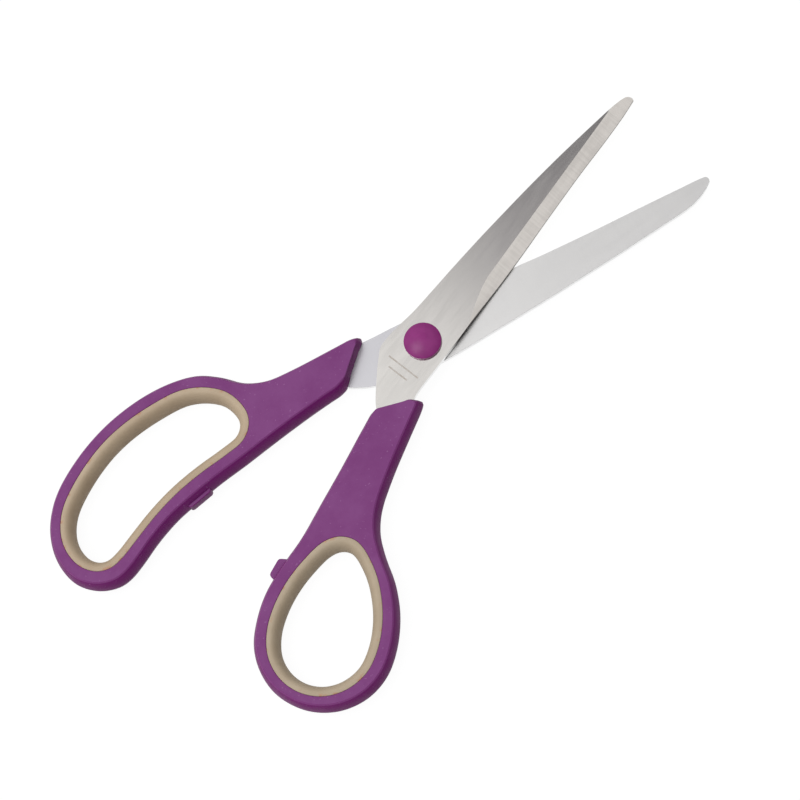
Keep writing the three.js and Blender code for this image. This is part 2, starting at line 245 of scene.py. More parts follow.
class Skin:
    """Points in millimetres and the faces over them."""

    def __init__(self):
        self.points = np.zeros((0, 3))
        self.faces = []
        self.materials = []

    def ring(self, outline, height):
        """Adds an outline at a height, or at a height for each point, and returns its numbers."""
        first = len(self.points)
        heights = np.broadcast_to(height, len(outline))
        self.points = np.vstack([self.points, np.column_stack([outline, heights])])
        return np.arange(first, len(self.points))

    def add(self, corners, material=0):
        self.faces.append([int(c) for c in corners])
        self.materials.append(material)

    def bridge(self, lower, upper, material=0):
        """Skins between two anticlockwise rings, outside facing out."""
        count = len(lower)
        for i in range(count):
            j = (i + 1) % count
            self.add((lower[i], lower[j], upper[j], upper[i]), material)

    def tube(self, rings, inner=False, material=0):
        """Skins a stack of rings, the lowest first.  An inner one faces its own middle."""
        for lower, upper in zip(rings, rings[1:]):
            if inner:
                self.bridge(lower[::-1], upper[::-1], material)
            else:
                self.bridge(lower, upper, material)

    def fill(self, rings, facing, height, spacing, creases=(), material_of=None):
        """Fills the first ring, round the others, with fine triangles at height(points).  Edges
        run along the creases, and material_of(centres) picks each triangle's material."""
        loops = [self.points[ring][:, :2] for ring in rings]
        edges = []
        known = []
        for ring in rings:
            first = len(known)
            known += list(ring)
            edges += [(first + i, first + (i + 1) % len(ring)) for i in range(len(ring))]
        flat = [loops[k][i] for k in range(len(rings)) for i in range(len(rings[k]))]
        for crease in creases:
            first = len(flat)
            line = list(crease)
            known_places = np.array(flat)
            ends = [
                int(np.argmin(np.linalg.norm(known_places - p, axis=1)))
                for p in (line[0], line[-1])
            ]
            chain = [ends[0], *range(first, first + len(line) - 2), ends[1]]
            flat += line[1:-1]
            edges += list(zip(chain, chain[1:]))
        low, high = loops[0].min(0), loops[0].max(0)
        rows = np.arange(low[1], high[1], spacing * math.sqrt(3) / 2)
        grid = np.array([
            (x + (k % 2) * spacing / 2, y)
            for k, y in enumerate(rows)
            for x in np.arange(low[0], high[0], spacing)
        ])
        grid = grid[inside(grid, loops[0])]
        for loop in loops[1:]:
            grid = grid[~inside(grid, loop)]
        for loop in loops:
            grid = grid[to_segments(grid, loop, True)[0] > spacing * RING_CLEARANCE]
        for crease in creases:
            near = to_segments(grid, np.array(crease), False)[0]
            grid = grid[near > spacing * CREASE_CLEARANCE]
        flat = np.vstack([np.array(flat), grid])
        made = delaunay_2d_cdt([Vector(p) for p in flat], edges, [], 0, 1e-6, True)
        places = np.array([tuple(p) for p in made[0]])
        number = np.full(len(places), -1)
        for i, sources in enumerate(made[3]):
            shared = [s for s in sources if s < len(known)]
            if shared:
                number[i] = known[shared[0]]
        new = np.flatnonzero(number < 0)
        number[new] = self.ring(places[new], height(places[new]))
        triangles = np.array(made[2])
        centres = places[triangles].mean(1)
        keep = inside(centres, loops[0])
        for loop in loops[1:]:
            keep &= ~inside(centres, loop)
        triangles, centres = triangles[keep], centres[keep]
        kinds = material_of(centres) if material_of else np.zeros(len(centres), int)
        for (a, b, c), kind in zip(triangles, kinds):
            corners = (number[a], number[b], number[c])
            self.add(corners if facing > 0 else corners[::-1], int(kind))

    def build(self, name, materials, sharp_turn=30):
        mesh = bpy.data.meshes.new(name)
        mesh.from_pydata((self.points * MM).tolist(), [], self.faces)
        for material in materials:
            mesh.materials.append(material)
        mesh.polygons.foreach_set("material_index", self.materials)
        mesh.validate()
        finish_mesh(mesh, sharp_turn)
        piece = bpy.data.objects.new(name, mesh)
        bpy.context.scene.collection.objects.link(piece)
        return piece


def finish_mesh(mesh, sharp_turn):
    mesh.polygons.foreach_set("use_smooth", [True] * len(mesh.polygons))
    mesh.set_sharp_from_angle(angle=math.radians(sharp_turn))
    mesh.update()


def lathe(name, profile, materials, sharp_turn=30, segments=96):
    """A turned piece about the pivot's axis.  The profile is (radius, height) pairs with the
    material on its left, and it closes on itself or ends on the axis."""
    skin = Skin()
    angle = np.linspace(0, 2 * math.pi, segments, endpoint=False)
    circle = np.column_stack([np.cos(angle), np.sin(angle)])
    closed = profile[0][0] > 0
    rings = [
        skin.ring(circle * radius, z) if radius > 0 else skin.ring(np.zeros((1, 2)), z)
        for radius, z in profile
    ]
    pairs = list(zip(rings, rings[1:]))
    if closed:
        pairs.append((rings[-1], rings[0]))
    for lower, upper in pairs:
        for i in range(segments):
            j = (i + 1) % segments
            if len(lower) == 1:
                skin.add((lower[0], upper[j], upper[i]))
            elif len(upper) == 1:
                skin.add((lower[i], lower[j], upper[0]))
            else:
                skin.add((lower[i], lower[j], upper[j], upper[i]))
    return skin.build(name, materials, sharp_turn)


def combine(piece, other, operation, sharp_turn=30):
    """Joins another closed piece to a piece, or cuts its shape out."""
    modifier = piece.modifiers.new("combine", "BOOLEAN")
    modifier.operation = operation
    modifier.object = other
    modifier.solver = "EXACT"
    bpy.context.view_layer.update()
    evaluated = piece.evaluated_get(bpy.context.evaluated_depsgraph_get())
    mesh = bpy.data.meshes.new_from_object(evaluated)
    piece.modifiers.clear()
    old = piece.data
    material = old.materials[0]
    piece.data = mesh
    bpy.data.meshes.remove(old)
    mesh.materials.clear()
    mesh.materials.append(material)
    mesh.polygons.foreach_set("material_index", [0] * len(mesh.polygons))
    finish_mesh(mesh, sharp_turn)


def place(piece, body, slot, *nodes):
    """Puts a piece on a body, in place of the CAD nodes that it stands for."""
    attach(piece, body)
    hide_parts(*nodes)


def levels(node):
    """The heights of a CAD node's lowest and highest points."""
    low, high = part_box(node)
    return low.z / MM, high.z / MM


def quarter(radius, steps):
    """(inset, drop) pairs round a rounded edge, from the top face to the side."""
    angles = [k / steps * math.pi / 2 for k in range(steps + 1)]
    return [(radius * (1 - math.sin(a)), radius * (1 - math.cos(a))) for a in angles]


# ---------------------------------------------------------------- materials


class Graph:
    """The node tree of a new material, with one Principled shader, or of the world."""

    def __init__(self, name, world=False):
        self.owner = (bpy.data.worlds if world else bpy.data.materials).new(name)
        self.owner.use_nodes = True
        self.tree = self.owner.node_tree
        self.shader = self.tree.nodes["Background" if world else "Principled BSDF"]

    def node(self, kind, settings=None, **inputs):
        made = self.tree.nodes.new("ShaderNode" + kind)
        for key, value in (settings or {}).items():
            setattr(made, key, value)
        for key, value in inputs.items():
            self.set(made.inputs[int(key[1:]) if key[1:].isdigit() else key.replace("_", " ")], value)
        return made

    def set(self, socket, value):
        if isinstance(value, bpy.types.NodeSocket):
            self.tree.links.new(value, socket)
        else:
            socket.default_value = value

    def shade(self, **inputs):
        for key, value in inputs.items():
            self.set(self.shader.inputs[key.replace("_", " ")], value)

    def coordinates(self, turn=0.0, stretch=(1, 1, 1)):
        """The piece's own coordinates in metres, turned about Z and then stretched."""
        place = self.node("TexCoord").outputs["Object"]
        turned = self.node("VectorRotate", {"rotation_type": "Z_AXIS"}, Vector=place, Angle=-turn)
        scaled = self.node("VectorMath", {"operation": "MULTIPLY"}, _0=turned.outputs[0], _1=stretch)
        return scaled.outputs[0]

    def noise(self, where, scale, detail=3.0, roughness=0.5):
        made = self.node("TexNoise", Vector=where, Scale=scale, Detail=detail, Roughness=roughness)
        return made.outputs["Fac"]

    def ramp(self, value, low, high, to_low=0.0, to_high=1.0):
        made = self.node("MapRange", {"interpolation_type": "SMOOTHSTEP"}, Value=value)
        made.inputs["From Min"].default_value = low
        made.inputs["From Max"].default_value = high
        made.inputs["To Min"].default_value = to_low
        made.inputs["To Max"].default_value = to_high
        return made.outputs[0]

    def mix(self, share, first, second):
        made = self.node("Mix", {"data_type": "RGBA"})
        self.set(made.inputs["Factor"], share)
        self.set(made.inputs[6], first)
        self.set(made.inputs[7], second)
        return made.outputs[2]

    def math(self, operation, first, second):
        return self.node("Math", {"operation": operation}, _0=first, _1=second).outputs[0]

    def bump(self, height, distance, strength=1.0, normal=None):
        made = self.node("Bump", Height=height, Distance=distance, Strength=strength)
        if normal is not None:
            self.set(made.inputs["Normal"], normal)
        return made.outputs[0]


def srgb(red, green, blue):
    """A colour given in 0 to 255 display values, as the linear values that shaders take."""
    values = [c / 255 for c in (red, green, blue)]
    return (*[c / 12.92 if c <= 0.04045 else ((c + 0.055) / 1.055) ** 2.4 for c in values], 1.0)


HANDLE_MIDDLE = 0.0045  # height of the parting plane, in metres
CREST_HIGHLIGHT_FROM = 0.0039  # the painted highlight along the crest grows between these distances from that plane
CREST_HIGHLIGHT_TO = 0.0044
CREVICE = 0.0015  # how near other surfaces must be for painted shade to darken the plastic


def handle_plastic():
    """Moulded plastic: deep purple sides, flat faces scuffed in tone and paler with a painted sheen, a
    painted highlight along the crests, dust specks, and painted shade in the crevices."""
    g = Graph("handle_plastic")
    where = g.coordinates()
    grain = g.noise(where, 5200, detail=2)
    height = g.node("SeparateXYZ", Vector=where).outputs["Z"]
    lift = g.node("SeparateXYZ", Vector=g.node("TexCoord").outputs["Normal"]).outputs["Z"]
    level = g.math("ABSOLUTE", lift, 0)
    side = g.mix(g.noise(where, 300), srgb(112, 25, 104), srgb(118, 31, 110))
    scuff = g.ramp(g.noise(where, 90, detail=5, roughness=0.65), 0.3, 0.7)
    face = g.mix(scuff, srgb(119, 57, 117), srgb(127, 68, 126))
    # Painted sheen: faces that point up or down are paler and greyer than the sides, standing in for the
    # sky's reflection. The scuff noise varies their tone at random.
    base = g.mix(g.ramp(level, 0.8, 0.99), side, face)
    # Painted highlight: a pale line along the crests, between the flat faces and the sides.
    away = g.math("ABSOLUTE", g.math("SUBTRACT", height, HANDLE_MIDDLE), 0)
    tilted = g.ramp(level, 0.5, 0.97, 1.0, 0.0)
    crest = g.math("MULTIPLY", g.ramp(away, CREST_HIGHLIGHT_FROM, CREST_HIGHLIGHT_TO), tilted)
    base = g.mix(g.math("MULTIPLY", crest, 0.65), base, srgb(154, 96, 154))
    speck = g.ramp(g.noise(where, 1500, detail=1), 0.7, 0.78)
    base = g.mix(g.math("MULTIPLY", speck, 0.45), base, srgb(164, 116, 164))
    # Painted shade: the plastic darkens near other surfaces, worked out by ambient occlusion.
    open_share = g.node("AmbientOcclusion", {"samples": 8}, Distance=CREVICE).outputs["AO"]
    crevice_shade = g.ramp(open_share, 0.25, 0.75, 0.8, 0.0)
    base = g.mix(crevice_shade, base, srgb(34, 16, 30))
    sink = g.bump(g.noise(where, 90, detail=1), 0.00025, 0.35)
    fine = g.bump(grain, 0.00002, 0.5, sink)
    roughness = g.ramp(g.noise(where, 240), 0.25, 0.75, 0.4, 0.5)
    g.shade(Base_Color=base, Roughness=roughness, Normal=fine, Specular_IOR_Level=0.14)
    return g.owner


def cap_plastic():
    """The caps' plastic: redder and glossier than the handles."""
    g = Graph("cap_plastic")
    where = g.coordinates()
    cloud = g.ramp(g.noise(where, 400), 0.3, 0.7)
    base = g.mix(cloud, srgb(130, 32, 109), srgb(138, 39, 116))
    fine = g.bump(g.noise(where, 3500, detail=2), 0.00002, 0.4)
    roughness = g.ramp(g.noise(where, 900), 0.3, 0.7, 0.3, 0.36)
    g.shade(Base_Color=base, Roughness=roughness, Normal=fine, Specular_IOR_Level=0.32)
    return g.owner


def soft_rubber(name, low, high):
    """Beige rubber, clouded between two colours and stained here and there along its seam."""
    g = Graph(name)
    where = g.coordinates()
    cloud = g.ramp(g.noise(where, 120), 0.3, 0.7)
    base = g.mix(cloud, low, high)
    seam = g.node("Attribute", {"attribute_name": "seam"}).outputs["Fac"]
    stain = g.ramp(g.noise(where, 420, detail=4), 0.56, 0.66)
    stained = g.math("MULTIPLY", g.math("MULTIPLY", seam, stain), 0.8)
    base = g.mix(stained, base, srgb(178, 120, 84))
    fine = g.bump(g.noise(where, 2600, detail=4), 0.00005, 0.5)
    roughness = g.ramp(g.noise(where, 600), 0.3, 0.7, 0.62, 0.72)
    g.shade(Base_Color=base, Roughness=roughness, Normal=fine)
    return g.owner


def ground_steel(name, axis_turn, marks_per_metre, roughness, depth, tint, contrast=0.07,
                 end_shade_tint=None):
    """Steel with grind marks, whose fineness is given along and across the blade.  Its end by the
    handle takes a darker tint, where one is given, as painted shade, and a painted shade darkens it along
    the cutting edge."""
    g = Graph(name)
    along, across = marks_per_metre
    where = g.coordinates(axis_turn, (along, across, min(along, across)))
    marks = g.noise(where, 1.0, detail=4, roughness=0.6)
    streaks = g.noise(g.coordinates(axis_turn + 0.1, (60, 420, 60)), 1.0, detail=3)
    shade = g.math("ADD", g.math("MULTIPLY", marks, 0.5), g.math("MULTIPLY", streaks, 0.5))
    # Painted shade: the end by the handle turns darker and cooler, for the shadow of the handle and the
    # other blade.
    if end_shade_tint:
        from_pivot = g.node("SeparateXYZ", Vector=g.coordinates(axis_turn)).outputs["X"]
        tint = g.mix(g.ramp(from_pivot, -0.008, 0.004), end_shade_tint, tint)
    dark = g.mix(contrast, tint, (0, 0, 0, 1))
    base = g.mix(g.ramp(shade, 0.38, 0.62), dark, tint)
    # Painted shade along the cutting edge, read from the blade's attribute. It also roughens the steel
    # there.
    gap_shade = g.node("Attribute", {"attribute_name": "gap_shade"}).outputs["Fac"]
    base = g.mix(gap_shade, base, srgb(52, 44, 42))
    fine = g.bump(marks, depth, 0.6)
    rough = g.ramp(shade, 0.3, 0.7, roughness + 0.03, roughness - 0.03)
    rough = g.math("ADD", rough, g.math("MULTIPLY", gap_shade, 0.3))
    g.shade(Base_Color=base, Metallic=1.0, Roughness=rough, Normal=fine)
    return g


# Each line's distance from the pivot, and its two ends across the blade, in metres.
ETCHED_LINES = [(-0.0095, -0.0062, 0.0052), (-0.0120, -0.0040, 0.0032)]
ETCH_HALF = 0.00016  # a line is full to this far from its middle, and gone by the next
ETCH_FADE = 0.0003
ETCH_END = 0.0002


def etched_lines(g, axis_turn):
    """Two plain etched lines across the blade, between the pivot and the handle."""
    place = g.node("SeparateXYZ", Vector=g.coordinates(axis_turn)).outputs
    found = 0.0
    for from_pivot, low, high in ETCHED_LINES:
        gap = g.math("ABSOLUTE", g.math("SUBTRACT", place["X"], from_pivot), 0)
        thin = g.ramp(gap, ETCH_HALF, ETCH_FADE, 1.0, 0.0)
        off = g.math("ABSOLUTE", g.math("SUBTRACT", place["Y"], (low + high) / 2), 0)
        half = (high - low) / 2
        ends = g.ramp(off, half - ETCH_END, half, 1.0, 0.0)
        found = g.math("ADD", found, g.math("MULTIPLY", thin, ends))
    worn = g.ramp(g.noise(g.coordinates(), 900), 0.3, 0.6, 0.35, 0.8)
    mark = g.math("MULTIPLY", found, worn)
    colour = g.shader.inputs["Base Color"].links[0].from_socket
    rough = g.shader.inputs["Roughness"].links[0].from_socket
    g.shade(Base_Color=g.mix(mark, colour, srgb(168, 158, 148)))
    g.shade(Roughness=g.math("ADD", rough, g.math("MULTIPLY", mark, 0.2)))


def nylon():
    g = Graph("nylon")
    where = g.coordinates()
    base = g.mix(g.noise(where, 800), srgb(222, 218, 208), srgb(236, 232, 222))
    g.shade(Base_Color=base, Roughness=0.5, Normal=g.bump(g.noise(where, 4000), 0.00001, 0.4))
    return g.owner


OPEN_HALF = math.radians(20.85 / 2)  # each blade's angle from the frame's +X
PURPLE = handle_plastic()
CAP = cap_plastic()
THUMB_RUBBER = soft_rubber("thumb_rubber", srgb(171, 154, 131), srgb(179, 163, 140))
FINGER_RUBBER = soft_rubber("finger_rubber", srgb(176, 156, 131), srgb(184, 165, 140))

GROUND = srgb(212, 207, 202)
ALONG_GROUND = (90, 900)
CROSS_GROUND = (1500, 90)
REAR_MARKS = (1400, 60)
EVEN_MARKS = (900, 900)
front_flat = ground_steel(
    "front_flat", OPEN_HALF, ALONG_GROUND, 0.14, 0.000006, srgb(221, 218, 214), 0.06
)
etched_lines(front_flat, OPEN_HALF)
FRONT_FLAT = front_flat.owner
FRONT_GROUND = ground_steel(
    "front_ground", OPEN_HALF, CROSS_GROUND, 0.3, 0.00003, GROUND, 0.12
).owner
# The rear blade's darker end tint is painted shade from the finger handle and the front blade.
REAR_FLAT = ground_steel(
    "rear_flat", -OPEN_HALF, REAR_MARKS, 0.36, 0.000004, srgb(219, 218, 217), 0.02,
    end_shade_tint=srgb(199, 198, 202)
).owner
REAR_GROUND = ground_steel(
    "rear_ground", -OPEN_HALF, CROSS_GROUND, 0.3, 0.00003, GROUND, 0.12
).owner
BLADE_SIDE = ground_steel(
    "blade_side", 0, EVEN_MARKS, 0.22, 0.00001, srgb(234, 234, 234), 0.06
).owner
PIVOT_STEEL = ground_steel(
    "pivot_steel", 0, EVEN_MARKS, 0.35, 0.00001, srgb(200, 200, 202)
).owner
NYLON = nylon()

# ---------------------------------------------------------------- blades

BLADE_SPACING = 0.35
BLADE_FILL = 1.1
BLADE_SHARP = 12  # degrees between faces that are shaded apart
RIM = 0.05  # rounding of the stamped rim, on the bevelled side
FLAT_RIM = 0.03  # and on the flat side
SHOULDER = 0.3  # where the rounding's middle ring lies, as a share of its inset and drop
EDGE_LAND = 0.35  # height of the steep land along the cutting edge
EDGE_INSET = 0.12
GAP_SHADE_START = 3  # the cutting side's rim is darkened with painted shade, where it lies over the other blade, between these distances from the pivot
GAP_SHADE_END = 52
GAP_SHADE_FADE_IN = 4
GAP_SHADE_FADE_OUT = 12
RUN_OUT_BLEND = 5  # length over which the bevel's inner line bends towards its heel
HEEL_REACH = 5  # how far the bevel's inner line is carried on past its two ends
TOE_REACH = 30
TIP_START = 80  # the bevel's full width is measured nearer the pivot than this
KEEN_RISE = 0.4  # height lost to the bevel over which the rim turns into a cutting edge


def bevel_line(coarse, bevel_coarse):
    """The bevel's inner line from its heel to where it meets the spine, and its bend."""
    gap = to_segments(bevel_coarse, coarse, True)[0]
    bend = int(np.argmax(gap))
    corner = bevel_coarse[bend]
    ends = [bevel_coarse[bend - 1], bevel_coarse[(bend + 1) % len(bevel_coarse)]]
    heel, toe = sorted(ends, key=np.linalg.norm)
    straight = (toe - corner) / np.linalg.norm(toe - corner)
    leave = corner + RUN_OUT_BLEND * straight
    t = np.linspace(0, 1, 24)[:, None]
    bent = (1 - t) ** 2 * heel + 2 * t * (1 - t) * corner + t ** 2 * leave
    steps = int(np.linalg.norm(toe - leave) / 1.0)
    rest = leave + np.linspace(0, 1, steps)[1:, None] * (toe - leave)
    return np.vstack([bent, rest])


def blade(name, node, bevel_facing, gap_shaded, materials):
    """A flat blade with its bevel ground up (1) or down (-1).  The materials are its flats, its
    bevel and its sides."""
    low, high = levels(node)
    flat_z, bevel_z = (low, high) if bevel_facing > 0 else (high, low)
    thickness = high - low
    loops = cad_outlines(node, flat_z, -bevel_facing)
    coarse, holes = loops[0], loops[1:]
    line = bevel_line(coarse, cad_outlines(node, bevel_z, bevel_facing)[0])
    rim = fine_outline(coarse, BLADE_SPACING, 50)
    heel_way = line[0] + HEEL_REACH * (line[0] - line[1]) / np.linalg.norm(line[1] - line[0])
    toe_way = line[-1] + TOE_REACH * (line[-1] - line[-2]) / np.linalg.norm(line[-1] - line[-2])
    guide = np.vstack([heel_way, line, toe_way])
    cutting_side = np.sign(-bevel_facing)
    from_line, side_of_line = to_segments(rim, guide, False)
    before_tip = np.linalg.norm(rim, axis=1) < TIP_START
    width = np.max(from_line * (side_of_line == cutting_side) * before_tip)
    slope = (thickness - EDGE_LAND) / width

    def rise(points):
        """How far the bevelled side stands above the flat side."""
        distance, side = to_segments(points, guide, False)
        ground = np.where(side == cutting_side, distance, 0)
        return np.maximum(thickness - slope * ground, EDGE_LAND)

    def at(above_flat):
        return flat_z + bevel_facing * above_flat

    skin = Skin()
    out = outward(rim)
    rim_rise = rise(rim)
    keen = soften(np.clip((thickness - rim_rise) / KEEN_RISE, 0, 1), 2)
    rim_inset = RIM + keen * (EDGE_INSET - RIM)
    drop = RIM + keen * (EDGE_LAND - 0.06 - RIM)
    face_loop = rim - out * rim_inset[:, None]
    face_rise = rise(face_loop)
    shoulder_loop = rim - out * (rim_inset * SHOULDER)[:, None]
    rings = [
        skin.ring(rim - out * FLAT_RIM, at(0)),
        skin.ring(rim, at(FLAT_RIM)),
        skin.ring(rim, at(np.maximum(face_rise - drop, 0.04))),
        skin.ring(shoulder_loop, at(np.maximum(face_rise - drop * SHOULDER, 0.05))),
        skin.ring(face_loop, at(face_rise)),
    ]
    flat_holes, bevel_holes = [], []
    for hole in holes:
        fine = fine_outline(hole, BLADE_SPACING, 90)
        flat_holes.append(skin.ring(fine, at(0)))
        bevel_holes.append(skin.ring(fine, at(rise(fine))))
    order = 1 if bevel_facing > 0 else -1
    skin.tube(rings[:3][::order], material=2)
    skin.tube(rings[2:][::order])
    for lower, upper in zip(flat_holes, bevel_holes):
        skin.tube([lower, upper][::order], inner=True)
    skin.fill([rings[0], *flat_holes], -bevel_facing, lambda p: np.full(len(p), at(0)), BLADE_FILL)

    def ground(centres):
        return (to_segments(centres, guide, False)[1] == cutting_side).astype(int)

    bevelled = [rings[-1], *bevel_holes]
    skin.fill(bevelled, bevel_facing, lambda p: at(rise(p)), BLADE_FILL, [line], ground)
    piece = skin.build(name, materials, BLADE_SHARP)
    tip = rim[np.argmax(rim @ [1, 0])]
    way = tip / np.linalg.norm(tip)
    along = rim @ way
    across = (way[0] * rim[:, 1] - way[1] * rim[:, 0]) * cutting_side
    # Painted shade: the cutting side's rim is marked dark where it lies over the other blade and the gap
    # between them.
    fade = np.clip((along - GAP_SHADE_START) / GAP_SHADE_FADE_IN, 0, 1)
    fade *= np.clip((GAP_SHADE_END - along) / GAP_SHADE_FADE_OUT, 0, 1)
    gap_shade = np.zeros(len(skin.points))
    for ring in rings[1:3]:
        gap_shade[ring] = fade * (across > 1) * gap_shaded
    layer = piece.data.attributes.new("gap_shade", "FLOAT", "POINT")
    layer.data.foreach_set("value", gap_shade)
    return piece


front_steels = [FRONT_FLAT, FRONT_GROUND, BLADE_SIDE]
front_blade = blade("front_blade_steel", "front_blade", 1, True, front_steels)
place(front_blade, "thumb_half", "blade_steel", "front_blade")
rear_steels = [REAR_FLAT, REAR_GROUND, BLADE_SIDE]
rear_blade = blade("rear_blade_steel", "rear_blade", -1, False, rear_steels)
place(rear_blade, "finger_half", "blade_steel", "rear_blade")

# ---------------------------------------------------------------- handles

SIDE_RUN = 1.65  # how far the sides lean out from the crest to the parting plane
END_RUN = 0.5  # and the end wall that the tang goes into
CORNER_TURN = 22  # degrees of turn that make a corner of an outline
CORNER_GAP = 2  # the least distance between two corners
CORNER_REACH = 4  # in samples, to each side of a corner
HANDLE_SPACING = 0.5
HANDLE_FILL = 1.3
SIDE_STEPS = 16
SIDE_CROWDING = 1.8  # gathers the side's rings towards the crest
CREST_BLUR = 0.8  # in samples: how far the outline's corners are rounded
SEAT_BLUR = 1.5
SEAT_EDGE = 0.2  # rounding of the loop's mouth
TONGUE_DEPTH = 1
TONGUE_HALF = 1
PARTING_GROOVE = 0.04
PARTING_HALF = 0.06


def lean(share):
    """How much of a side's lean is taken up at a share of the height from middle to face."""
    return 1 - (1 - share ** 1.5) ** 0.75


STOP_SPACING = 0.25
STOP_BLUR = 1.2
STOP_ROOT = 1.5  # how far the stop reaches into the handle
STOP_ROOTED = 0.28  # corners nearer the side than this reach into it
STOP_SHARE = 0.42  # height of the stop's top, as a share from the parting plane to the crest
STOP_FILL = 0.6
STOP_EDGE = [(0.22, 0), (0.3, 0.02), (0.42, 0.1), (0.48, 0.22), (0.5, 0.4)]  # grow, drop


def stop_block(node, bottom, top, side):
    """The stop moulded on the handle's side, which is given as its outline at the stop's top."""
    middle = (bottom + top) / 2
    upward = [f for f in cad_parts[node].data.polygons if f.normal.z > LEVEL]
    level = max(f.center.z / MM for f in upward if f.center.z / MM < top - 1)
    face = cad_outlines(node, level, 1)[0]
    corners = face[convex_hull_2d([Vector(p) for p in face])]
    near = [int(np.argmin(np.linalg.norm(side - c, axis=1))) for c in corners]
    into = outward(side)[near] * STOP_ROOT
    rooted = np.linalg.norm(side[near] - corners, axis=1) < STOP_ROOTED
    corners = anticlockwise(corners - into * rooted[:, None])
    loop = soften(resample(corners, STOP_SPACING), STOP_BLUR)
    out = outward(loop)
    upper = [(grow, level - drop) for grow, drop in STOP_EDGE]
    profile = [(grow, 2 * middle - z) for grow, z in upper] + upper[::-1]
    skin = Skin()
    rings = [skin.ring(loop + out * grow, z) for grow, z in profile]
    skin.tube(rings)
    skin.fill([rings[-1]], 1, lambda p: np.full(len(p), profile[-1][1]), STOP_FILL)
    skin.fill([rings[0]], -1, lambda p: np.full(len(p), profile[0][1]), STOP_FILL)
    return skin.build(node + "_stop", [PURPLE])


def handle(name, node, blade_piece):
    """A handle with leaning sides, a tongue round its loop, its stop, and a slot for the tang."""
    bottom, top = levels(node)
    middle = (bottom + top) / 2
    crest, seat = cad_outlines(node, top, 1)[:2]
    sides = np.roll(crest, -1, axis=0) - crest
    longest = int(np.argmax(np.linalg.norm(sides, axis=1)))
    wall = np.array([crest[longest], crest[(longest + 1) % len(crest)]])
    fine = fine_outline(crest, HANDLE_SPACING, CORNER_TURN)
    on_wall = to_segments(fine, wall, False)[0] < SAME
    run = soften(np.where(on_wall, END_RUN, SIDE_RUN), 1)
    sharp = sorted(zip(turns(crest), crest.tolist()), reverse=True)
    corners = []
    for turn, corner in sharp:
        apart = [math.dist(corner, other) for other in corners]
        if turn > CORNER_TURN and min(apart, default=math.inf) > CORNER_GAP:
            corners.append(corner)
    parting = soften(widened(fine, run, corners, CORNER_REACH), CREST_BLUR)
    fine = soften(fine, CREST_BLUR)
    skin = Skin()
    heights = [1 - (1 - k / SIDE_STEPS) ** SIDE_CROWDING for k in range(SIDE_STEPS + 1)]
    upper = [(h, parting + (fine - parting) * lean(h)) for h in heights]
    rings = [skin.ring(loop, middle - (middle - bottom) * h) for h, loop in upper[:0:-1]]
    groove = parting - outward(parting) * PARTING_GROOVE
    rings.append(skin.ring(parting, middle - PARTING_HALF))
    rings.append(skin.ring(groove, middle))
    rings.append(skin.ring(parting, middle + PARTING_HALF))
    rings += [skin.ring(loop, middle + (top - middle) * h) for h, loop in upper[1:]]
    skin.tube(rings)
    mouth = soften(fine_outline(seat, HANDLE_SPACING, 90), SEAT_BLUR)
    out = outward(mouth)
    lower = [(inset, bottom + drop) for inset, drop in quarter(SEAT_EDGE, 4)]
    lower += [(0, middle - TONGUE_HALF), (-TONGUE_DEPTH, middle - TONGUE_HALF)]
    whole = lower + [(grow, bottom + top - z) for grow, z in lower[::-1]]
    inner = [skin.ring(mouth + out * grow, z) for grow, z in whole]
    skin.tube(inner, inner=True)
    skin.fill([rings[-1], inner[-1]], 1, lambda p: np.full(len(p), top), HANDLE_FILL)
    skin.fill([rings[0], inner[0]], -1, lambda p: np.full(len(p), bottom), HANDLE_FILL)
    piece = skin.build(name, [PURPLE])
    side_at_stop = parting + (fine - parting) * lean(STOP_SHARE)
    stop = stop_block(node, bottom, top, side_at_stop)
    combine(piece, stop, "UNION")
    bpy.data.objects.remove(stop)
    combine(piece, blade_piece, "DIFFERENCE")
    return piece


thumb_handle = handle("thumb_handle_shell", "thumb_handle", front_blade)
place(thumb_handle, "thumb_half", "handle_plastic", "thumb_handle")
finger_handle = handle("finger_handle_shell", "finger_handle", rear_blade)
place(finger_handle, "finger_half", "handle_plastic", "finger_handle")

# ---------------------------------------------------------------- grips

GRIP_GAP = 0.03
GRIP_EDGE = 0.25
GRIP_LAND = 0.9  # width of the flat at the handle's face
GRIP_BULGE = 3.4  # how far the swelling reaches in from the mouth
BULGE_STEPS = 18
SEAM_WIDTH = 1.1  # how far from the seam stains can reach


def grip(name, handle_node, node, rubber):
    """A ring that fills the loop's mouth, grooved for the tongue and swelling inwards."""
    bottom, top = levels(node)
    middle = (bottom + top) / 2
    seat = cad_outlines(handle_node, top, 1)[1]
    mouth = soften(fine_outline(seat, HANDLE_SPACING, 90), SEAT_BLUR)
    out = outward(mouth)
    half = [(GRIP_GAP + inset, top - drop) for inset, drop in quarter(GRIP_EDGE, 5)]
    half += [(GRIP_GAP, middle + TONGUE_HALF + GRIP_GAP)]
    half += [(TONGUE_DEPTH + GRIP_GAP, middle + TONGUE_HALF + GRIP_GAP)]
    outer = [(inset, bottom + top - z) for inset, z in half] + half[::-1]
    angles = [k / (2 * BULGE_STEPS) * math.pi for k in range(2 * BULGE_STEPS + 1)]
    bulge = [
        (GRIP_LAND + (GRIP_BULGE - GRIP_LAND) * math.sin(a), middle + (top - middle) * math.cos(a))
        for a in angles
    ]
    skin = Skin()
    rings = [skin.ring(mouth - out * inset, z) for inset, z in outer + bulge]
    for lower, upper in zip(rings, rings[1:] + rings[:1]):
        skin.bridge(lower, upper)
    piece = skin.build(name, [rubber])
    seam = piece.data.attributes.new("seam", "FLOAT", "POINT")
    near = []
    for inset, _ in outer + bulge:
        near += [max(0.0, 1 - inset / SEAM_WIDTH)] * len(mouth)
    seam.data.foreach_set("value", near)
    return piece


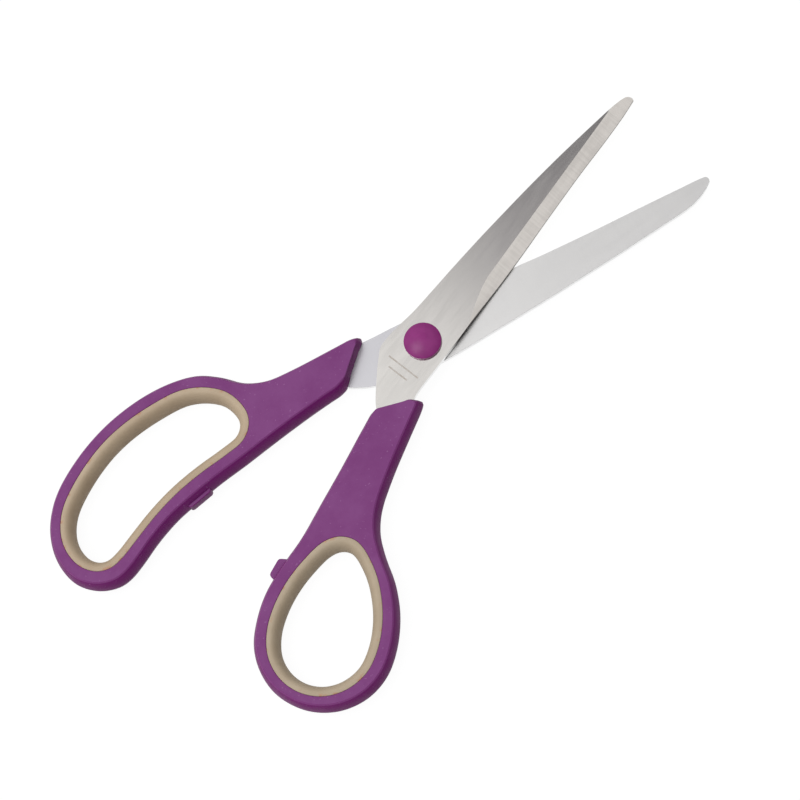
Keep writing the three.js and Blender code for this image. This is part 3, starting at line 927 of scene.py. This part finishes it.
thumb_grip = grip("thumb_grip_lining", "thumb_handle", "thumb_grip", THUMB_RUBBER)
place(thumb_grip, "thumb_half", "grip_rubber", "thumb_grip")
finger_grip = grip("finger_grip_lining", "finger_handle", "finger_grip", FINGER_RUBBER)
place(finger_grip, "finger_half", "grip_rubber", "finger_grip")

# ---------------------------------------------------------------- pivot


def radii(node):
    """The radii that a turned CAD node's corners lie at, the smallest first."""
    points = [v.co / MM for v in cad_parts[node].data.vertices]
    found = sorted({round(math.hypot(p.x, p.y), 2) for p in points})
    return [r for r in found if r > SAME]


CAP_SKIRT = 0.95  # straight wall of a cap, below its dome
CAP_CURVE = 0.88  # power of the dome's curve: 0.5 is an ellipse and 1 a parabola
CAP_STEPS = 26
RIM_STEPS = 3  # of those, how many the rounded top of the skirt takes the place of
# The hollow inside: (radius, height above the open end), from its ceiling down to the opening.
CAP_HOLLOW = [(0, 1.4), (4.25, 1.4), (4.35, 1.3), (4.35, 0.35), (4.75, 0.3), (4.75, 0)]


def cap(name, node, facing):
    """A domed cap that opens down (1) or up (-1)."""
    low, high = levels(node)
    radius = radii(node)[-1]
    open_z = low if facing > 0 else high
    tall = high - low
    profile = list(CAP_HOLLOW)
    profile += [(radius - 0.12, 0), (radius - 0.03, 0.03), (radius, 0.12)]
    profile += [(radius, CAP_SKIRT - 0.12), (radius - 0.02, CAP_SKIRT - 0.01)]
    profile += [(radius - 0.06, CAP_SKIRT + 0.055)]
    for k in range(RIM_STEPS, CAP_STEPS):
        share = math.cos(k / CAP_STEPS * math.pi / 2)
        rise = (1 - share ** 2) ** CAP_CURVE
        profile.append((radius * share, CAP_SKIRT + (tall - CAP_SKIRT) * rise))
    profile.append((0, tall))
    placed = [(r, open_z + facing * z) for r, z in profile]
    return lathe(name, placed if facing > 0 else placed[::-1], [CAP])


place(cap("front_cap_dome", "front_cap", 1), "thumb_half", "cap_plastic", "front_cap")
place(cap("rear_cap_dome", "rear_cap", -1), "thumb_half", "cap_plastic", "rear_cap")


WASHER_EDGE = 0.05  # chamfer


def washer(name, node, material):
    low, high = levels(node)
    sizes = radii(node)
    inner, outer = sizes[0], sizes[-1]
    edge = WASHER_EDGE
    profile = [
        (inner, low + edge), (inner + edge, low), (outer - edge, low), (outer, low + edge),
        (outer, high - edge), (outer - edge, high), (inner + edge, high), (inner, high - edge),
    ]
    return lathe(name, profile, [material], 60)


front_washer = washer("front_washer_ring", "front_washer", PIVOT_STEEL)
place(front_washer, "thumb_half", "pivot_steel", "front_washer")
rear_washer = washer("rear_washer_ring", "rear_washer", PIVOT_STEEL)
place(rear_washer, "thumb_half", "pivot_steel", "rear_washer")
friction_washer = washer("friction_washer_ring", "friction_washer", NYLON)
place(friction_washer, "thumb_half", "washer_nylon", "friction_washer")

HEAD_THICKNESS = 0.8
HEAD_ROUND = [(0, 0.3), (0.09, 0.09), (0.3, 0)]  # (inset, drop) round the head's outer edge
HEAD_CHAMFER = 0.1  # under the head
SHANK_FILLET = 0.15


def rivet(name, node):
    low, high = levels(node)
    sizes = radii(node)
    shank, head = sizes[0], sizes[-1]
    middle = (low + high) / 2
    under = high - HEAD_THICKNESS
    half = [(shank, under - SHANK_FILLET), (shank + SHANK_FILLET, under)]
    half += [(head - HEAD_CHAMFER, under), (head, under + HEAD_CHAMFER)]
    half += [(head - inset, high - drop) for inset, drop in HEAD_ROUND]
    half += [(0, high)]
    whole = [(r, 2 * middle - z) for r, z in half[::-1]] + half
    return lathe(name, whole, [PIVOT_STEEL])


place(rivet("pivot_rivet_steel", "pivot_rivet"), "thumb_half", "pivot_steel", "pivot_rivet")

# ---------------------------------------------------------------- floor and light

# Directions in the frame.  The picture's upper left is +Y, and its lower right is -Y.
SKY_CENTRE = Vector((-0.16, 0.3, 0.94)).normalized()
DARK_SPOT = Vector((0.27, 0.37, 0.89)).normalized()
SPOT_RIM = (10.2, 7.4, 0.36)  # degrees from the spot's middle at its edge and inside, and the level
SPOT_CORE = (8, 3, 0.55)
SPOT_TINT = (1.0, 0.965, 1.04, 1)
FLOOR_HALF = 3.0  # metres
FLOOR_GLOW = 1.05
KEY_PLACE = Vector((-0.5, 0.18, 1.07))
KEY_SIZE = 0.7
KEY_POWER = 4


def make_floor():
    """White paper that looks evenly lit to the camera and in reflections, and that bounces a
    little light onto the object."""
    mesh = bpy.data.meshes.new("floor")
    size = FLOOR_HALF
    corners = [(-size, -size, 0), (size, -size, 0), (size, size, 0), (-size, size, 0)]
    mesh.from_pydata(corners, [], [(0, 1, 2, 3)])
    g = Graph("floor")
    paper = g.node("BsdfDiffuse", Color=(0.8, 0.8, 0.8, 1)).outputs[0]
    glow = g.node("Emission", Color=(1, 1, 1, 1), Strength=FLOOR_GLOW).outputs[0]
    seen = g.node("MixShader", _0=0.9, _1=paper, _2=glow).outputs[0]
    ray = g.node("LightPath").outputs
    direct = g.math("MAXIMUM", ray["Is Camera Ray"], ray["Is Glossy Ray"])
    dim = g.node("BsdfDiffuse", Color=(0.4, 0.4, 0.4, 1)).outputs[0]
    shown = g.node("MixShader", _0=direct, _1=dim, _2=seen).outputs[0]
    g.set(g.tree.nodes["Material Output"].inputs["Surface"], shown)
    mesh.materials.append(g.owner)
    floor = bpy.data.objects.new("floor", mesh)
    bpy.context.scene.collection.objects.link(floor)


def make_world():
    """A soft bright sky behind the object, dimmer towards the viewer, with one dark spot, which
    the polished blade reflects."""
    g = Graph("studio", world=True)
    way = g.node("TexCoord").outputs["Generated"]

    def towards(direction):
        made = g.node("VectorMath", {"operation": "DOT_PRODUCT"}, _0=way, _1=direction)
        return made.outputs["Value"]

    def near_dark(outer, inner, level):
        edge, core = [math.cos(math.radians(angle)) for angle in (outer, inner)]
        return g.ramp(towards(DARK_SPOT), edge, core, 1.0, level)

    sky = g.ramp(towards(SKY_CENTRE), -0.1, 0.85, 0.1, 1.0)
    shade = g.math("MULTIPLY", near_dark(*SPOT_RIM), near_dark(*SPOT_CORE))
    colour = g.mix(shade, SPOT_TINT, (1, 1, 1, 1))
    g.shade(Color=colour, Strength=g.math("MULTIPLY", sky, shade))
    bpy.context.scene.world = g.owner


def make_key():
    """A soft box from the picture's left."""
    data = bpy.data.lights.new("key", "AREA")
    data.shape = "RECTANGLE"
    data.size = KEY_SIZE
    data.size_y = KEY_SIZE
    data.energy = KEY_POWER
    key = bpy.data.objects.new("key", data)
    aim = KEY_PLACE.to_track_quat("Z", "Y").to_matrix().to_4x4()
    key.matrix_world = Matrix.Translation(KEY_PLACE) @ aim
    bpy.context.scene.collection.objects.link(key)


make_floor()
make_world()
make_key()
bpy.context.scene.view_settings.view_transform = "Standard"
